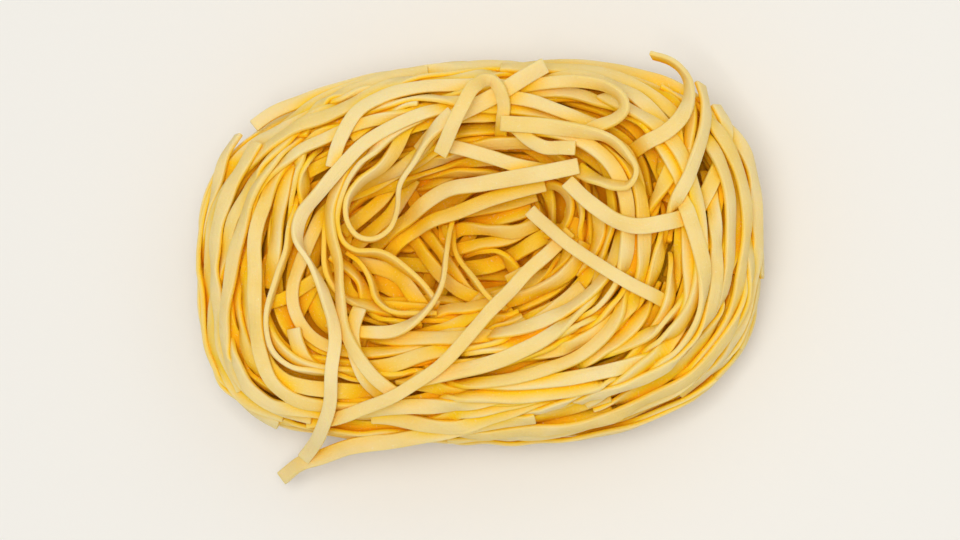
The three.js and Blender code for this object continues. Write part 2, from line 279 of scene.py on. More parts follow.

# %% [markdown]
# ## The loose ribbons
#
# The ribbons on top are what one looks at, and each is a little story: a loop that fell over, a hook, an
# end that sticks out. No rule gives those, so their routes are listed as places in plan. The
# height follows from the ring below plus a lift, and the roll says how far the ribbon is turned from
# lying flat. A Catmull-Rom curve runs smoothly through all the places of a route.

# %% Loose ribbons listed: places in plan, lift above the ring, roll in degrees
LOOSE = {
    # the ones on top
    "long_drape": ([(-35.5, -40), (-30.5, -35), (-27.5, -29.5), (-26.5, -22.5), (-26, -15), (-28, -8),
        (-31, -1.5), (-33.5, 3.5), (-33, 8.5), (-29.5, 13), (-24.5, 18.5), (-19, 23.5), (-12.5, 27),
        (-4.5, 29.5), (3, 30.5)], [-4, 1, 3, 3, 3, 2, 2, 1, 0, -2], [0, 0, 5, 55, 86, 45, 10, 0, 0, 0]),
    "front_stray": ([(-41.5, -44), (-36.5, -41), (-31.5, -39.5), (-25, -37.5), (-17, -36.5), (-8, -35),
        (3, -33), (13, -31.5)], [-6, -4, -3, -3, -4], [0, 0, 5, 10, 10]),
    "long_diagonal": ([(20.5, 5), (16, 0.5), (11.5, -3.5), (7, -8.5), (2, -14.5), (-3, -20), (-9.5, -25),
        (-17.5, -29), (-25.5, -31.5), (-33.5, -32.5)], [0, 3, 4, 4, 3, 1, -3], [0, 0, 0, 0, 0, 10, 30]),
    "loop_outer": ([(-8.5, 29), (-14.5, 25.5), (-18.5, 21.5), (-22.5, 17.5), (-25.5, 12.5), (-26.5, 8),
        (-25.5, 3.5), (-23, 1.5), (-18.5, 1), (-14, -1.5), (-9.5, -5), (-6.5, -9.5)],
        [-1, 1, 1, 0, 0, -3], [20, 50, 80, 80, 70, 60]),
    "loop_inner": ([(-2.5, 28.5), (-7, 24), (-10.5, 19), (-13.5, 14.5), (-14.5, 10), (-16.5, 6),
        (-19.5, 4), (-22.5, 4.5), (-24.5, 7.5), (-24.2, 11.5), (-21.5, 15), (-17.5, 18), (-14.5, 22),
        (-12, 26.5), (-8.5, 29.5)], [0, 2, 3, 2, 2, 1, -1, -3], [30, 60, 85, 88, 88, 80, 40, 20]),
    "inner_fall": ([(-16.5, 25), (-21.5, 21), (-25.5, 15.5), (-27.5, 10), (-27.5, 4.5), (-26, -1),
        (-25.5, -7), (-24.5, -13), (-22, -18.5), (-18.5, -23.5), (-14, -27.5)],
        [-1, 0, 1, 2, 3, 0], [0, 10, 40, 50, 30, 10]),
    "cross_upper": ([(22.5, 17.5), (16, 16.5), (9, 15.5), (2, 14.5), (-4, 13.5), (-9.5, 11), (-14, 8),
        (-17.5, 5.5), (-21, 2.5)], [3, 4, 3, 3, 1, -3, -9], [0, 0, 0, 0, 10, 30, 40]),
    "cross_lower": ([(15.5, 14.5), (9.5, 13), (3.5, 11.5), (-2.5, 9.5), (-8, 8), (-13, 5.5), (-16.5, 2.5),
        (-19.5, -1)], [0, 1, 1, 0, -4, -9], [0, 0, 0, 10, 20, 30]),
    "slant_upper": ([(-5.5, 22.5), (-1, 21.5), (4, 20), (9, 18.5), (13.5, 17.5), (18.5, 16.5)],
        [1, 2, 2, 0], [0, 0]),
    "wavy_end": ([(22, 21), (19, 21), (16, 21), (13, 22.5), (10.5, 25), (7.5, 28)],
        [4, 3, 2, -1], [0, 12, -8, 0, 0]),
    "hook": ([(-5, 20), (-2.5, 24.5), (0, 29), (2, 33), (4.5, 35), (6.5, 33.5), (7.5, 30), (7, 26),
        (6.5, 21.5)], [6, 7, 7, 4, 0, -5], [0, 0, 20, 50, 60, 40]),
    "top_diagonal": ([(15.5, 38), (11.5, 35.5), (7, 32.5), (2.5, 30), (-2.5, 27.5), (-7, 24.5),
        (-10, 21.5)], [4, 3, 1, -3], [0, 0, 0, 20]),
    "u_turn": ([(7, 26.5), (12, 26), (18, 25), (23.5, 24), (28.5, 22.5), (32, 19.5), (34, 16.5),
        (32.5, 13.5), (29.5, 13.5), (26, 15), (22, 17.5)],
        [1, 2, 3, 3, 3, 2, 0], [0, 5, 45, 80, 85, 60, 10]),
    "fold": ([(10.5, 34), (16.5, 34.5), (22.5, 34.5), (27.5, 33.5), (31, 31), (31.5, 28.5), (29.5, 26.5),
        (26, 25), (21.5, 23.5)], [0, 1, 3, 4, 3, 0], [0, 0, 35, 60, 40, 10]),
    "slope": ([(7.5, 31.5), (13, 30.5), (17.5, 29), (22, 27.5), (26, 26)], [1, 1, 1, -1], [0, 0]),
    "curl": ([(36.2, 40.8), (39.2, 39.8), (42, 37.8), (43.8, 34.5), (44, 31), (42.8, 27.5), (40, 24.5),
        (35.5, 22), (31, 19.5)], [1, 3, 4, 4, 2, -4], [80, 70, 50, 10, 0, 0]),
    "right_fall": ([(46, 34.5), (47, 30), (47, 25.5), (46, 20.5), (44, 15), (40.5, 8.5), (37, 1.5)],
        [1, 2, 1, -4], [-65, -65, -60, -50]),
    "right_slant": ([(20, 14.5), (23.5, 11), (27, 8.5), (30.5, 6.5), (34.5, 5.5), (40, 6.5), (45.5, 8.5)],
        [3, 4, 4, 3, 0], [0, 0, 5, 20, 30]),
    "middle_slant": ([(12.3, 9.3), (13.5, 8), (17.5, 4.5), (22, 1), (27, -2.5), (32.5, -5.5), (38, -8.5),
        (43.5, -12.5)], [1, 3, 3, 2, -5], [0, 0, 0, 0, 10]),
    "middle_edge": ([(-4, 10), (-4.5, 5.5), (-5, 0.5), (-5.5, -5), (-7, -9), (-9.5, -12), (-14, -14.5),
        (-19.5, -15), (-24.5, -14.5), (-28.5, -12.5)], [-2, 2, 2, 2, 1, -3], [80, 80, 75, 50, 20, 0]),
    "middle_thin": ([(-5.5, 7.5), (-4, 3), (-2, -0.5), (0.5, -4), (3.5, -7.5), (7.5, -10.5)],
        [-3, -2, -1, -2], [80, 80, 75, 70]),
    "thin_arc_upper": ([(-25.5, 1.5), (-22.5, -1), (-20, -4.5), (-18.5, -8), (-15, -11), (-11, -11.5),
        (-6.5, -11)], [-4, -3, -3, -3], [75, 75, 70, 60]),
    "thin_arc_lower": ([(-28.5, 1), (-25, -1.5), (-22.5, -4.5), (-21, -8.5), (-18.5, -11.5), (-14.5, -13),
        (-9.5, -13.5)], [-4, -4], [75, 75, 70, 60]),
    "left_short": ([(-21.5, -10), (-22.5, -13.5), (-22.5, -16.5), (-21.5, -20.5), (-20, -24.5),
        (-17, -28)], [1, 1, 0, -3], [0, 0]),
    "left_slant": ([(-45, -11.5), (-41, -9), (-37, -8), (-33, -5.5), (-30, -3), (-26.5, 1.5)],
        [-6, -2, -2, -5], [75, 80]),
    "left_ring": ([(-31.5, 21), (-33, 16.5), (-34.5, 12), (-35.5, 7), (-36, 2), (-38, -4), (-39.5, -9.5),
        (-40, -14), (-39, -18.5), (-35.5, -21.5), (-31, -22.5), (-25.5, -23), (-19.5, -24.5)],
        [-4, -1, 0, 1, 0, -1, -3], [30, 60, 80, 86, 88, 86, 80, 70]),
    "upper_rim": ([(-44.6, 27.4), (-39.8, 30.8), (-33.5, 33.2), (-26.5, 35.2), (-19, 37), (-9, 38.5),
        (0.5, 39.5), (12.5, 39), (22, 38)], [-1, -3, -5, -6, -8], [-10, -20, -40, -45]),
    "left_rim": ([(-47.9, 26), (-50.3, 21.8), (-52, 16.5), (-54, 10), (-55.5, 2.5), (-56, -5), (-55, -13),
        (-52.5, -21)], [-2, -4, -8, -10], [55, 55, 55, 60]),
    "left_inner_rim": ([(-42.9, 23.6), (-45.7, 18.9), (-48.8, 13.8), (-51, 7), (-52, -0.5), (-51.5, -9.5),
        (-50.5, -18.5), (-47, -26)], [-1, -2, -4, -6], [35, 40, 45, 50]),
    # in the hollow
    "small_arch": ([(-4, 2), (-0.5, 2.5), (2.5, 2.5), (5.5, 1.5), (7.5, -0.5), (9, -3)],
        [-7, -5, -5, -7], [70, 80, 80, 70]),
    "shelf": ([(-5, 5.5), (-3, 6.5), (0.5, 6.5), (4.5, 6), (9, 5.5), (13, 7)],
        [-5, -5], [60, 70, 70, 50]),
    "dive_outer": ([(-17.5, 6), (-13.5, 5), (-10, 1), (-6.5, -3), (-3.5, -5.5), (0, -7.5), (4, -9)],
        [-6, -5, -6, -7, -8], [20, 30, 30, 30]),
    "dive_inner": ([(-13, 8.5), (-10, 6), (-7, 2), (-4, -2.5), (-1.5, -6), (2, -9)],
        [-4, -4, -5, -7, -8], [30, 50, 50, 40]),
    "sunk_flat": ([(-24.5, 0), (-19, -1.5), (-15, -3.5), (-11.5, -7.5), (-8, -12.5)],
        [-6, -6, -6, -8], [0, 10, 10, 0]),
    "sunk_low": ([(-21, -3.5), (-17.5, -5.5), (-13.5, -7.5), (-9.5, -11)], [-8, -8, -9], [10, 0, 10]),
    "hole_ring": ([(13.5, 14), (17, 14.5), (20, 12), (20, 8.5), (18, 5.5), (15, 5)],
        [-4, -4, -5], [70, 80, 80]),
    "hole_post_left": ([(21.5, 13.5), (22.5, 9), (22, 4), (20.5, 0)], [-2, -3, -4], [60, 60]),
    "hole_post_right": ([(26, 8.5), (26, 4.5), (24.5, 0.5), (21, -3)], [-2, -3, -4], [40, 50, 40]),
    "below_diagonal": ([(7, -8.5), (13, -7), (18, -4.5), (21.5, -1), (23, 3)],
        [-3, -3, -3, -4], [50, 60, 60]),
    "loop_floor_upper": ([(-26.5, 5.5), (-23, 8.5), (-19.5, 12), (-16.5, 16), (-14, 20)],
        [-6, -6, -8, -10], [10, 0, -10]),
    "loop_floor_lower": ([(-25, 2), (-21.5, 5.5), (-18, 9), (-15, 13), (-12, 17)],
        [-6, -7, -8, -10], [0, 15, 10]),
    "shelf_back": ([(-5, 10), (1, 10.5), (7, 11), (13, 13)], [-6.5, -5.5, -5.5, -6.5], [0, -15, 0]),
    "shelf_middle": ([(-6, 6), (0, 7.5), (6, 8.5), (12, 10)], [-6.5, -5.5, -5, -6], [-10, -20, 0]),
    "shelf_front": ([(-5, 2), (1, 3), (7, 4.5), (13, 8)], [-6.5, -5.5, -5, -6], [0, -10, -10]),
    "step_down": ([(-2, -1.5), (3, -1), (9, 1.5), (15, 5)], [-8, -7, -6, -7], [0, -10, -10]),
    "below_right": ([(4, -8), (10, -6), (16, -3), (20.5, 2), (22, 8)], [-5, -5, -4, -5], [-30, -30]),
    "below_right_inner": ([(7, -4.5), (12, -2), (16, 2), (18, 7)], [-6, -6, -5, -6], [-30, -30]),
    "front_gap_upper": ([(5, -11), (11, -9), (17, -6), (21.5, -1.5)], [-6, -4, -4, -5], [-20, -30, -30]),
    "front_gap_middle": ([(8, -13), (14, -11.5), (20, -8), (25, -2)], [-4, -3, -3, -4], [-10, -20, -20]),
    "front_gap_lower": ([(10, -16), (17, -13), (24, -8), (28.5, 0)], [-4, -2, -2, -4], [0, -10, -20]),
    "u_turn_floor": ([(17, 23.5), (22, 21.5), (27, 18), (31, 14)], [-4, -4, -4, -6], [0, 10, 0]),
    # on the slope in front of it
    "front_highest": ([(-9, -11.5), (-4.5, -10), (-0.5, -10), (4, -9), (9, -7), (14, -4), (19, 0)],
        [-5, -4, -4, -5], [-40, -30, -30, -30]),
    "front_second": ([(-15, -14), (-9.5, -12.5), (-4.5, -11.5), (0.5, -12), (5.5, -13), (11, -11.5),
        (16, -8.5)], [-6, -5, -5, -6], [-40, -40, -30, -30]),
    "front_third": ([(-21.5, -16.5), (-15, -16), (-9, -15), (-4, -14), (0, -12), (4, -9), (9, -7)],
        [-6, -4, -3, -5], [-20, -30, -30, -40]),
    "front_fourth": ([(-22, -18), (-16.5, -18), (-11, -18), (-5, -17), (-0.5, -14.5), (4, -12), (8, -9.5)],
        [-6, -3, -3, -5], [-10, -20, -20, -30]),
    "front_fifth": ([(-21, -21), (-15.5, -20.5), (-10.5, -20.5), (-6, -19), (-1, -16.5), (4, -13),
        (10, -11)], [-6, -2, -2, -4], [0, -10, -10, -20]),
    "front_rise": ([(-4, -21.5), (0, -19), (4, -17), (9, -15.5), (13.5, -13), (18, -10), (23, -6)],
        [-4, -1, -1, -3], [0, -10, -10, 0]),
    "front_low_rise": ([(-8, -25), (-3, -23), (2, -21.5), (7, -19.5), (12.5, -17.5), (18, -14), (24, -9)],
        [-4, -1, -1, -3], [10, 0, 0, 10]),
    "front_dip": ([(-11, -24.5), (-7, -25.5), (-2, -27), (3, -28), (9.5, -28), (16, -26), (22, -22)],
        [-4, -2, -1, -3], [10, 0, 0, 10]),
    "front_crest": ([(-28.5, -30.5), (-21.5, -30.5), (-14, -29.5), (-6, -29.5), (2, -28.5), (9.5, -26.5),
        (17, -23)], [-4, -1, -1, -3], [10, 15, 20, 20]),
    "front_foot": ([(-20, -31.5), (-12.5, -32.5), (-4.5, -33.5), (3.5, -32), (11.5, -29.5), (18, -27),
        (25, -23)], [-4, -2, -2, -4], [25, 35, 35, 25]),
    # on the left
    "left_outer": ([(-16.5, 37), (-22.5, 35.5), (-28, 33.5), (-33.5, 30.5), (-38, 27), (-41, 23),
        (-44.5, 19), (-48, 14.5), (-50.5, 10), (-53, 5), (-55, -0.5), (-56, -6), (-56, -12), (-54.5, -18),
        (-51.5, -24.5), (-46.5, -29.5), (-40, -33)],
        [-5, -4, -4, -5, -7, -9, -8, -6], [40, 40, 45, 50, 55, 60, 55, 45]),
    "left_second": ([(-20, 33.5), (-26, 31), (-31.5, 28), (-36, 24.5), (-40.5, 19.5), (-44.5, 13.5),
        (-47.5, 8), (-49.5, 2), (-51.5, -4.5), (-53, -11.5), (-53, -18), (-50, -24), (-45.5, -28.5),
        (-38.5, -31.5)], [-4, -2, -1, -3, -5, -7, -7, -5], [30, 30, 35, 40, 50, 55, 50, 40]),
    "left_third": ([(-22, 30), (-27.5, 28), (-33, 25.5), (-37, 21.5), (-40, 17.5), (-43, 12.5),
        (-45.5, 6.5), (-47.5, 1), (-48.5, -6), (-49.5, -12.5), (-49, -20.5), (-45.5, -26), (-40, -29.5),
        (-32, -31.5)], [-4, -2, 0, -1, -2, -4, -4, -3], [20, 15, 10, 40, 30, 20, 40, 30]),
    "left_broad": ([(-24.5, 27), (-30, 24.5), (-34.5, 21), (-38.5, 16.5), (-41, 9.5), (-42.5, 2.5),
        (-42.5, -4), (-42, -12), (-41.5, -18.5), (-39.5, -24.5), (-35, -28), (-27.5, -29.5), (-20, -30)],
        [-4, -2, 0, 1, 1, 0, -1, -2], [0, 10, 10, 5, 15, 20, 20, 10]),
    "left_edge_outer": ([(-30.5, 26.5), (-33, 23), (-34, 18.5), (-35, 13.5), (-35, 8.5), (-36, 4),
        (-38.5, -1)], [-4, -1, -1, -2, -5], [50, 70, 75, 60, 40]),
    "left_edge_inner": ([(-29.5, 24.5), (-31.5, 21), (-33, 16.5), (-33.5, 11.5), (-34, 7)],
        [-5, -1, -2, -5], [50, 75, 75, 60]),
    "left_stub": ([(-34.5, -14), (-34, -17), (-32.5, -20.5), (-29.5, -22.5)], [0, 0, -2], [0, 0]),
    "left_prop": ([(-36.5, -14), (-34, -9.5), (-32, -5.5), (-30.5, -2)], [-4, -3, -3], [50, 60, 50]),
    "corner_inner": ([(-41.5, -15), (-40.8, -20), (-37.5, -24), (-32.5, -25.6), (-26, -26.4), (-19, -27)],
        [-5, -1, -1, -1, -4], [15, 10, 0, 0]),
    "corner_outer": ([(-49, -13), (-48.3, -18), (-46.5, -22.5), (-44.5, -26), (-40.5, -29), (-35, -30),
        (-29, -31)], [-6, -2, -2, -1, -2], [35, 30, 25, 20]),
    "left_between": ([(-34, 24), (-35.3, 20), (-36.6, 15), (-37.9, 8.6), (-38.6, 1.8), (-39.8, -6)],
        [-4, -1, -1, -1, -4], [30, 30, 35, 30]),
    # in gaps at the right and in front
    "right_gap": ([(41, 29), (47, 21.5), (51, 12), (52, 3)], [-9, -7, -7, -9], [20, 30, 30, 20]),
    "right_gap_low": ([(44, 28), (46.4, 20), (46, 11)], [-12, -11, -12], [10, 15, 10]),
    "right_inner_gap": ([(39.5, 11), (39.8, 3.5), (38.2, -5)], [-8, -9, -8], [10, 15, 10]),
    "front_gap_low": ([(6, -33.6), (17, -32.6), (28, -29.8)], [-6, -6], [-15, -20, -15]),
    # at the back and on the right
    "back_left": ([(-33.5, 24), (-31.5, 29), (-27.5, 32.5), (-22.5, 35), (-16.5, 37), (-9, 38)],
        [-2, -2, -3, -4, -6], [-10, -30, -30, -40]),
    "back_rise": ([(-27, 18), (-25, 24), (-21.5, 29.5), (-16.5, 32.5), (-10, 34), (-3, 34.5), (6, 34.5),
        (14, 33)], [1, 0, -1, -2, -3], [10, -5, -15, -20]),
    "back_stub": ([(-23.5, 24), (-19.5, 27.5), (-14.5, 30), (-9.5, 30.5)],
        [-2, -2], [-10, -10]),
    "right_sweep": ([(6, 38), (14, 38), (21.5, 38), (28.5, 36.5), (34.5, 33.5), (40, 29), (43.5, 24.5)],
        [-5, -3, -3, -3, -2], [-45, -45, -40, -35]),
    "right_inner_sweep": ([(12, 35), (20, 36), (26, 35), (32, 32.5), (36.5, 29), (40.5, 24.5)],
        [-4, -1, -1, -1], [-25, -30, -30, -20]),
    "right_outer_drop": ([(49, 30.5), (51, 26), (50.5, 21), (48.5, 14.5), (45.5, 9), (42.5, 3),
        (39.5, -4)], [-2, -1, -1, -3, -7], [-45, -50, -55, -45]),
    "fan_outer": ([(45.5, 32), (49.2, 28), (52.4, 24.4), (55.2, 20), (56.8, 13.5), (57, 6), (56, -4),
        (53.5, -13), (48.5, -21), (41, -27)], [0, -3, -6, -8, -10, -11], [-30, -40, -50, -50]),
    "fan_middle": ([(44.5, 31), (48, 27), (51.5, 22), (54, 16), (55, 9), (54.5, 1), (53, -8),
        (49.5, -15.5), (44, -21.5), (36, -26)], [0, -1, -3, -5, -6, -8], [-50, -55, -55, -50]),
    "fan_inner": ([(44, 28.5), (46.5, 24.5), (49.5, 19.5), (51.5, 13), (52, 6), (51.5, -2), (49, -10),
        (44.5, -17)], [-1, -1, -2, -3, -7], [-60, -60]),
    "right_crest_outer": ([(38, 15), (39, 8), (38.5, 1.5), (36.5, -4.5), (33, -10), (27.5, -14.5)],
        [-5, -2, -2, -4], [-20, -30, -20]),
    "right_crest_inner": ([(34.5, 12), (35.5, 6), (35.5, 0), (33, -5.5), (29, -10.5), (23, -14)],
        [-5, -3, -3, -5], [-10, -20, -20]),
    "right_crest_low": ([(12, -20.5), (19, -19), (25.5, -16), (31.5, -11), (35.5, -5)],
        [-5, -3, -3, -5], [0, -10, -20]),
    "right_crest_second": ([(16, -23.5), (24, -20.5), (30, -16.8), (34.5, -11.5), (37.5, -5)],
        [-5, -2, -2, -5], [0, 10, 0]),
    "right_drop": ([(44, 31.5), (44.5, 26.5), (43.5, 21), (42, 15.5), (39.5, 10.5)],
        [0, 1, 0, -1], [50, 60, 60, 50]),
    "right_inner_drop": ([(41, 25.5), (41.5, 21), (40, 15.5), (37, 10.5), (34, 6)],
        [0, 0, -1, -5], [60, 70, 60]),
}

# %% [markdown]
# Down in the hollow lie the ribbons that the winding left there. One sees only stretches of them, golden
# and half in shade, so a rule does: each is a chord from one side of the hollow to the other, bowed to
# one side and sagging in the middle.

# %% From a route to a ribbon
def smooth_curve(points, samples=16):
    """A centripetal Catmull-Rom curve through the points."""
    points = np.asarray(points, float)
    points = np.vstack([2 * points[0] - points[1], points, 2 * points[-1] - points[-2]])
    curve = []
    for p0, p1, p2, p3 in zip(points, points[1:], points[2:], points[3:]):
        t1 = np.linalg.norm(p1 - p0) ** 0.5
        t2 = t1 + np.linalg.norm(p2 - p1) ** 0.5
        t3 = t2 + np.linalg.norm(p3 - p2) ** 0.5
        t = np.linspace(t1, t2, samples, endpoint=False)[:, None]
        a = (t1 - t) / t1 * p0 + t / t1 * p1
        b = (t2 - t) / (t2 - t1) * p1 + (t - t1) / (t2 - t1) * p2
        c = (t3 - t) / (t3 - t2) * p2 + (t - t2) / (t3 - t2) * p3
        d = (t2 - t) / t2 * a + t / t2 * b
        e = (t3 - t) / (t3 - t1) * b + (t - t1) / (t3 - t1) * c
        curve.append((t2 - t) / (t2 - t1) * d + (t - t1) / (t2 - t1) * e)
    return np.vstack([*curve, points[-2:-1]])


def rolled(place, share, roll):
    """A ribbon on these places, turned from level by the roll in degrees."""
    along = unit(np.gradient(place, axis=0))
    level = unit(np.column_stack([-along[:, 1], along[:, 0], np.zeros(len(along))]))
    return place, turned(along, level, np.radians(spread(roll, share)))


def loose(route, lift, roll):
    flat, share = evenly(STEP, smooth_curve(route))
    return rolled(np.column_stack([flat, rest_height(flat) + spread(lift, share)]), share, roll)


# %% Ribbons that fell as they would
ON_EDGE = 80  # degrees
TIGHT_BEND = 0.07  # radians in a millimetre, at which a ribbon stands on edge
AVERAGED = 9  # stations that a bend is averaged over


def edgewise(place):
    """The roll that lets a ribbon follow its bends: flat where it is straight, on edge in a loop."""
    along = unit(np.gradient(place, axis=0))
    bend = np.linalg.norm(np.gradient(along[:, :2], axis=0), axis=1) / STEP
    bend = np.convolve(np.pad(bend, AVERAGED // 2, mode="edge"), np.ones(AVERAGED) / AVERAGED, mode="valid")
    return ON_EDGE * np.minimum(1, bend / TIGHT_BEND)


def fallen(place, roll):
    """A ribbon on these places that rolls on edge in its bends, and by a roll of its own."""
    place, share = evenly(STEP, place)
    return rolled(place, share, edgewise(place)[::4] + roll)


def chord(low, side):
    """A ribbon across the hollow, whose middle lies low mm up and up to side mm to one side."""
    start = rng.uniform(0, 2 * np.pi)
    ends = on_plan(np.array([start, start + np.pi + rng.uniform(-1.1, 1.1)]), rng.uniform(0.36, 0.6, 2))
    bow = rng.uniform(-side, side, 2)
    share = np.linspace(0, 1, 60)[:, None]
    flat = ends[0] * (1 - share) + ends[1] * share + bow * 4 * share * (1 - share)
    height = low + rng.uniform(1, 5) * (2 * share - 1) ** 2
    return fallen(np.hstack([flat, height]), rng.uniform(-40, 40))


def coil(low, radius):
    """A loop that fell into the hollow on its side."""
    turns = np.linspace(0, rng.uniform(0.7, 1.2), 80)
    angle = 2 * np.pi * (turns + rng.random())
    swell = radius * (1 + 0.25 * np.cos(angle + rng.uniform(0, 6)))
    middle = middle_at(np.array([0.1]))[0] + rng.uniform(-9, 9, 2)
    flat = middle + swell[:, None] * np.column_stack([np.cos(angle), np.sin(angle)])
    height = low + 3 * np.sin(angle + rng.uniform(0, 6))
    return fallen(np.column_stack([flat, height]), 0)


def strewn(angle, share, length):
    """A ribbon that lies on the ring at the front right, more or less the way the ring runs."""
    along = np.linspace(0, 1, 60)
    towards = 1 if angle < FRONT_RIGHT else -1
    turned_by = towards * length / (share * outline_radius(angle)) * along
    shares = share + rng.uniform(-0.15, 0.15) * along + 0.025 * np.sin(4 * along + rng.uniform(0, 6))
    flat = on_plan(angle + turned_by, np.clip(shares, 0.5, 0.88))
    lift = rng.uniform(-1, 2) - 5 * (2 * along - 1) ** 6
    return fallen(np.column_stack([flat, rest_height(flat) + lift]), rng.uniform(-20, 20))


# %% Lay the loose ribbons
CHORDS = 26
COILS = 8
STREWN = 18
FRONT_RIGHT = math.radians(-35)
heart = [chord(12 + 8 * i / (CHORDS - 1), 11) for i in range(CHORDS)]
heart += [coil(10 + 6 * i / (COILS - 1), rng.uniform(8, 13)) for i in range(COILS)]

strewn_at = np.radians(rng.uniform(-82, 8, STREWN))
strewn_out = rng.uniform(0.5, 0.85, STREWN)
top = [loose(*strand) for strand in LOOSE.values()]
top += [strewn(*place, rng.uniform(35, 65)) for place in zip(strewn_at, strewn_out)]
print(len(top), "loose ribbons on top and", len(heart), "in the hollow")

# %% [markdown]
# Dough never dries quite straight or quite flat. So every ribbon gets small waves of its own, to the
# side, up and down and about its length, with crests one to three centimetres apart.

# %% Small waves
WAVES = 4
CREST_TO_CREST = (9, 30)
ROLL = 6  # degrees


def unruly(place, across, size):
    run = STEP * np.arange(len(place))
    along = unit(np.gradient(place, axis=0))
    normal = np.cross(along, across)
    to_side, up, roll = 0, 0, 0
    for crests in rng.uniform(*CREST_TO_CREST, WAVES):
        turns = run / crests + rng.random(3)[:, None]
        to_side = to_side + size * crests * wave(turns[0], 0)
        up = up + size * crests * wave(turns[1], 0)
        roll = roll + ROLL * wave(turns[2], 0)
    moved = place + across * to_side[:, None] + normal * up[:, None]
    return moved, squared(turned(along, across, np.radians(roll)), unit(np.gradient(moved, axis=0)))


# %% [markdown]
# ## Settling
#
# Up to here the ribbons run through each other. A solver in the manner of position-based dynamics puts
# that right. Each ribbon is three rows of short round rods side by side, along its two edges and its
# middle. Wherever two rods come closer than the ribbon is thick, both are pushed apart by half of what
# is missing. Then the three rows are brought back to a flat ribbon of its true width and length, and
# the move is smoothed along it, which stands for its stiffness.
#
# The pairs that could touch come from a grid of cells: two rods are only compared if they lie in the
# same cell or in neighbouring ones. Without that, each search would have to go through some five hundred
# million pairs.

# %% All ribbons in one set of arrays
ribbons = [unruly(*ribbon, 0.006) for ribbon in outer + inner + heart]
ribbons += [unruly(*ribbon, 0.0035) for ribbon in top]
lengths = [len(place) for place, _ in ribbons]
home = np.vstack([place for place, _ in ribbons])
home_across = np.vstack([across for _, across in ribbons])
owner = np.repeat(np.arange(len(ribbons)), lengths)
number = np.concatenate([np.arange(length) for length in lengths])
last = np.append(number[1:] == 0, True)
before = np.arange(len(home)) - (number > 0)
after = np.arange(len(home)) + ~last
links = np.flatnonzero(~last)
link_length = np.linalg.norm(home[links + 1] - home[links], axis=1)
print(len(home), "stations on", round(link_length.sum() / 1000, 2), "m of ribbon")

# %% Find the pairs of rods that are close
SIDES = (-1, 0, 1)
NEIGHBOURS = [(x, y, z) for x in (0, 1) for y in SIDES for z in SIDES if (x, y, z) >= (0, 0, 0)]
OWN_REACH = 5  # rods of one ribbon that are this near along it don't push each other


def close_pairs(points, reach):
    """Pairs of points that are nearer to each other than reach."""
    cell = np.floor(points / reach).astype(np.int64)
    cell -= cell.min(axis=0) - 1
    columns, floors = cell[:, 1].max() + 2, cell[:, 2].max() + 2
    key = (cell[:, 0] * columns + cell[:, 1]) * floors + cell[:, 2]
    order = np.argsort(key, kind="stable")
    sorted_key = key[order]
    found = []
    for x, y, z in NEIGHBOURS:
        wanted = sorted_key + (x * columns + y) * floors + z
        from_here = np.searchsorted(sorted_key, wanted, "left")
        if (x, y, z) == (0, 0, 0):
            from_here = np.arange(1, len(points) + 1)
        count = np.maximum(np.searchsorted(sorted_key, wanted, "right") - from_here, 0)
        first = np.repeat(np.arange(len(points)), count)
        offset = np.arange(count.sum()) - np.repeat(np.cumsum(count) - count, count)
        pair = order[np.column_stack([first, np.repeat(from_here, count) + offset])]
        gap = points[pair[:, 0]] - points[pair[:, 1]]
        found.append(pair[np.einsum("ij,ij->i", gap, gap) < reach**2])
    return np.vstack(found)


def touching_rods(rows, reach):
    """Pairs of rods that may touch, each told by where it starts in the flattened rows."""
    middles = (rows[:, links] + rows[:, links + 1]).reshape(-1, 3) / 2
    pair = close_pairs(middles, reach)
    station = links[pair % len(links)]
    same = owner[station[:, 0]] == owner[station[:, 1]]
    near = np.abs(number[station[:, 0]] - number[station[:, 1]]) <= OWN_REACH
    return ((pair // len(links)) * len(home) + station)[~(same & near)]


# %% [markdown]
# Two rods are nearest at one point of each. Where these lie follows from a small system of two
# equations, held to the rods' ends. Several rods push on one station, so their pushes are averaged,
# because adding them up would throw the ribbons about.

# %% Push rods apart
def nearest_shares(p, d, q, e):
    """How far along the rods p to p + d and q to q + e their nearest points lie, as shares."""
    r = p - q
    dd = np.einsum("ij,ij->i", d, d)
    ee = np.maximum(np.einsum("ij,ij->i", e, e), 1e-9)
    de = np.einsum("ij,ij->i", d, e)
    dr = np.einsum("ij,ij->i", d, r)
    er = np.einsum("ij,ij->i", e, r)
    area = dd * ee - de * de
    s = np.where(area < 1e-6 * dd * ee, 0.5, np.clip((de * er - dr * ee) / np.maximum(area, 1e-9), 0, 1))
    t = (de * s + er) / ee
    held = np.clip(t, 0, 1)
    s = np.where(t == held, s, np.clip((de * held - dr) / np.maximum(dd, 1e-9), 0, 1))
    return s, held


def push_apart(rows, pairs, gap, vigour=1.2):
    """Moves the rods that are nearer than the gap, and returns by how much each pair missed it."""
    flat = rows.reshape(-1, 3)
    i, j = pairs.T
    p, q = flat[i], flat[j]
    d, e = flat[i + 1] - p, flat[j + 1] - q
    s, t = nearest_shares(p, d, q, e)
    between = p + d * s[:, None] - q - e * t[:, None]
    distance = np.maximum(np.linalg.norm(between, axis=1), 1e-4)
    hit = distance < gap
    i, j, s, t, between, distance = i[hit], j[hit], s[hit], t[hit], between[hit], distance[hit]
    push = between / distance[:, None] * ((gap - distance) / 2)[:, None]
    at = np.concatenate([i, i + 1, j, j + 1])
    weight = np.concatenate([1 - s, s, 1 - t, t])
    scale = np.concatenate([(1 - s) ** 2 + s**2] * 2 + [(1 - t) ** 2 + t**2] * 2)
    side = np.repeat([1, -1], 2 * len(i))
    moves = np.tile(push, (4, 1)) * (side * weight / scale)[:, None]
    total = np.column_stack([np.bincount(at, column, len(flat)) for column in moves.T])
    count = np.bincount(at, weight, len(flat))
    rows += (total / np.maximum(count, 1)[:, None] * vigour).reshape(rows.shape)
    return gap - distance


